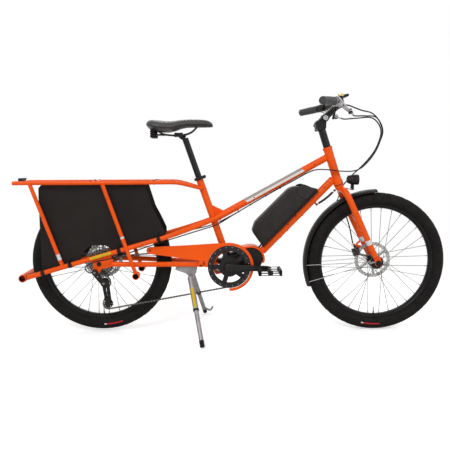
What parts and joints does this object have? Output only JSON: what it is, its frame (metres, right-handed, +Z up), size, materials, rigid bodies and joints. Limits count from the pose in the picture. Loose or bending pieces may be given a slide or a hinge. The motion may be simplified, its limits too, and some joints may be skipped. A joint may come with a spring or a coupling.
{
  "type": "longtail cargo bike",
  "caption": "Electric longtail cargo bicycle with mid drive, frame battery, long rear rack with side skirts, disc brakes and a two-legged centre stand.",
  "frame": {"origin": "on the ground plane, at the middle of the bounding box's footprint", "axes": "+X forward along the bike, +Y to the rider's left, +Z up"},
  "size_m": [1.886, 0.5578, 1.0481],
  "materials": {
    "frame_orange": "gloss paint",
    "tyre": "moulded rubber",
    "rim_black": "black anodised rim and hub, bright spokes",
    "black_metal": "satin black",
    "dark_metal": "satin dark grey",
    "black_plastic": "matt",
    "drive_housing": "matt dark",
    "battery_case": "satin black",
    "skirt": "matt black sheet",
    "saddle_cover": "black stitched cover",
    "silver_metal": "satin",
    "chain_steel": "oiled steel",
    "bell_metal": "polished pale dome",
    "cast_silver": "cast, satin",
    "cable_black": "smooth outer sleeve"
  },
  "bodies": {
    "frame": {"head_tube": "frame_orange", "top_tube": "frame_orange", "down_tube": "frame_orange", "seat_tube": "frame_orange", "side_rail_right": "frame_orange", "side_rail_left": "frame_orange", "rear_cross_tube": "frame_orange", "chainstay_right": "frame_orange", "chainstay_left": "frame_orange", "motor_shell": "frame_orange", "drive_unit": "drive_housing", "rack_rail_right": "frame_orange", "rack_rail_left": "frame_orange", "rack_cross_rear": "frame_orange", "rack_cross_middle": "frame_orange", "rack_cross_front": "frame_orange", "strut_rear_right": "frame_orange", "strut_rear_left": "frame_orange", "strut_middle_right": "frame_orange", "strut_middle_left": "frame_orange", "skirt_right": "skirt", "skirt_left": "skirt", "chain_guard": "black_plastic", "derailleur": "dark_metal", "rear_caliper": "dark_metal", "stand_bracket": "cast_silver", "cables_rear": "cable_black", "steering_damper": "dark_metal", "chain": "chain_steel"},
    "steering": {"fork": "frame_orange", "front_caliper": "dark_metal", "stem": "black_metal", "handlebar": "black_metal", "control_right": "black_plastic", "control_left": "black_plastic", "display": "black_plastic", "bell": "bell_metal", "front_mudguard": "black_plastic", "brake_cable_front": "cable_black"},
    "front_wheel": {"front_wheel": "rim_black", "front_tyre": "tyre"},
    "rear_wheel": {"rear_wheel": "rim_black", "rear_tyre": "tyre"},
    "cassette": {"cassette": "silver_metal"},
    "cranks": {"crank_right": "dark_metal", "crank_left": "dark_metal"},
    "pedal_right": {"pedal_right": "black_plastic"},
    "pedal_left": {"pedal_left": "black_plastic"},
    "derailleur_cage": {"derailleur_cage": "dark_metal"},
    "pulley": {"pulley_lower": "black_plastic"},
    "brake_lever_right": {"brake_lever_right": "silver_metal"},
    "brake_lever_left": {"brake_lever_left": "silver_metal"},
    "shift_lever": {"shift_lever": "black_plastic"},
    "bell_striker": {"bell_striker": "silver_metal"},
    "headlight": {"headlight": "black_plastic"},
    "seat": {"seatpost": "black_metal", "saddle": "saddle_cover"},
    "seat_clamp_lever": {"seat_clamp_lever": "black_metal"},
    "stand": {"stand_legs": "cast_silver"},
    "battery": {"battery": "battery_case"}
  },
  "joints": [
    {"name": "steer", "type": "hinge", "parent": "frame", "child": "steering", "pos_m": [0.409, 0, 0.82], "axis": [-0.3107, 0, 0.9505], "range_deg": [-50, 50], "deforming": ["cables_rear", "steering_damper"]},
    {"name": "front_wheel_spin", "type": "hinge", "parent": "steering", "child": "front_wheel", "pos_m": [0.633, 0, 0.31], "axis": [0, 1, 0], "continuous": true},
    {"name": "rear_wheel_spin", "type": "hinge", "parent": "frame", "child": "rear_wheel", "pos_m": [-0.591, 0, 0.32], "axis": [0, 1, 0], "continuous": true},
    {"name": "crank_spin", "type": "hinge", "parent": "frame", "child": "cranks", "pos_m": [-0.025, 0, 0.3], "axis": [0, 1, 0], "range_deg": [-2, 116], "deforming": ["chain"]},
    {"name": "cassette_spin", "type": "hinge", "parent": "frame", "child": "cassette", "pos_m": [-0.591, 0, 0.32], "axis": [0, 1, 0], "range_deg": [-8.33, 426.33]},
    {"name": "cage_swing", "type": "hinge", "parent": "frame", "child": "derailleur_cage", "pos_m": [-0.571, 0, 0.236], "axis": [0, 1, 0], "range_deg": [-25, 10], "stiffness_Nm_per_rad": 0.8, "deforming": ["chain"]},
    {"name": "pulley_spin", "type": "hinge", "parent": "derailleur_cage", "child": "pulley", "pos_m": [-0.558, 0, 0.139], "axis": [0, 1, 0], "range_deg": [-8.33, 426.33]},
    {"name": "pedal_right_spin", "type": "hinge", "parent": "cranks", "child": "pedal_right", "pos_m": [0.14494, -0.137, 0.29555], "axis": [0, 1, 0], "continuous": true},
    {"name": "pedal_left_spin", "type": "hinge", "parent": "cranks", "child": "pedal_left", "pos_m": [-0.19494, 0.137, 0.30445], "axis": [0, 1, 0], "continuous": true},
    {"name": "brake_lever_right_pull", "type": "hinge", "parent": "steering", "child": "brake_lever_right", "pos_m": [0.47474, -0.13422, 0.96293], "axis": [0.2387, -0.4408, -0.8653], "range_deg": [0, 10], "stiffness_Nm_per_rad": 1.5, "springref_deg": -2.86},
    {"name": "brake_lever_left_pull", "type": "hinge", "parent": "steering", "child": "brake_lever_left", "pos_m": [0.47474, 0.13422, 0.96293], "axis": [-0.2387, -0.4408, 0.8653], "range_deg": [0, 10], "stiffness_Nm_per_rad": 1.5, "springref_deg": -2.86},
    {"name": "shift_lever_push", "type": "hinge", "parent": "steering", "child": "shift_lever", "pos_m": [0.4119, -0.15323, 0.97746], "axis": [0, 0, 1], "range_deg": [-25, 25], "stiffness_Nm_per_rad": 0.2},
    {"name": "bell_strike", "type": "hinge", "parent": "steering", "child": "bell_striker", "pos_m": [0.44329, -0.092, 1.026], "axis": [0, 0, 1], "range_deg": [-25, 25], "stiffness_Nm_per_rad": 0.05},
    {"name": "headlight_tilt", "type": "hinge", "parent": "steering", "child": "headlight", "pos_m": [0.524, 0, 0.645], "axis": [0, 1, 0], "range_deg": [-15, 20]},
    {"name": "seat_height", "type": "slide", "parent": "frame", "child": "seat", "axis": [-0.3256, 0, 0.9455], "range_m": [-0.08, 0.05]},
    {"name": "seat_clamp_open", "type": "hinge", "parent": "frame", "child": "seat_clamp_lever", "pos_m": [-0.13156, -0.0193, 0.69436], "axis": [-0.3256, 0, 0.9455], "range_deg": [0, 120]},
    {"name": "stand_fold", "type": "hinge", "parent": "frame", "child": "stand", "pos_m": [-0.195, 0, 0.25], "axis": [0, 1, 0], "range_deg": [0, 80]},
    {"name": "battery_tilt", "type": "hinge", "parent": "frame", "child": "battery", "pos_m": [0.2465, -0.045, 0.51327], "axis": [0.7006, 0, 0.7136], "range_deg": [0, 15]}
  ],
  "couplings": [
    {"joint": "cassette_spin", "follows": "crank_spin", "ratio": 3.6667},
    {"joint": "pulley_spin", "follows": "crank_spin", "ratio": 3.6667}
  ]
}
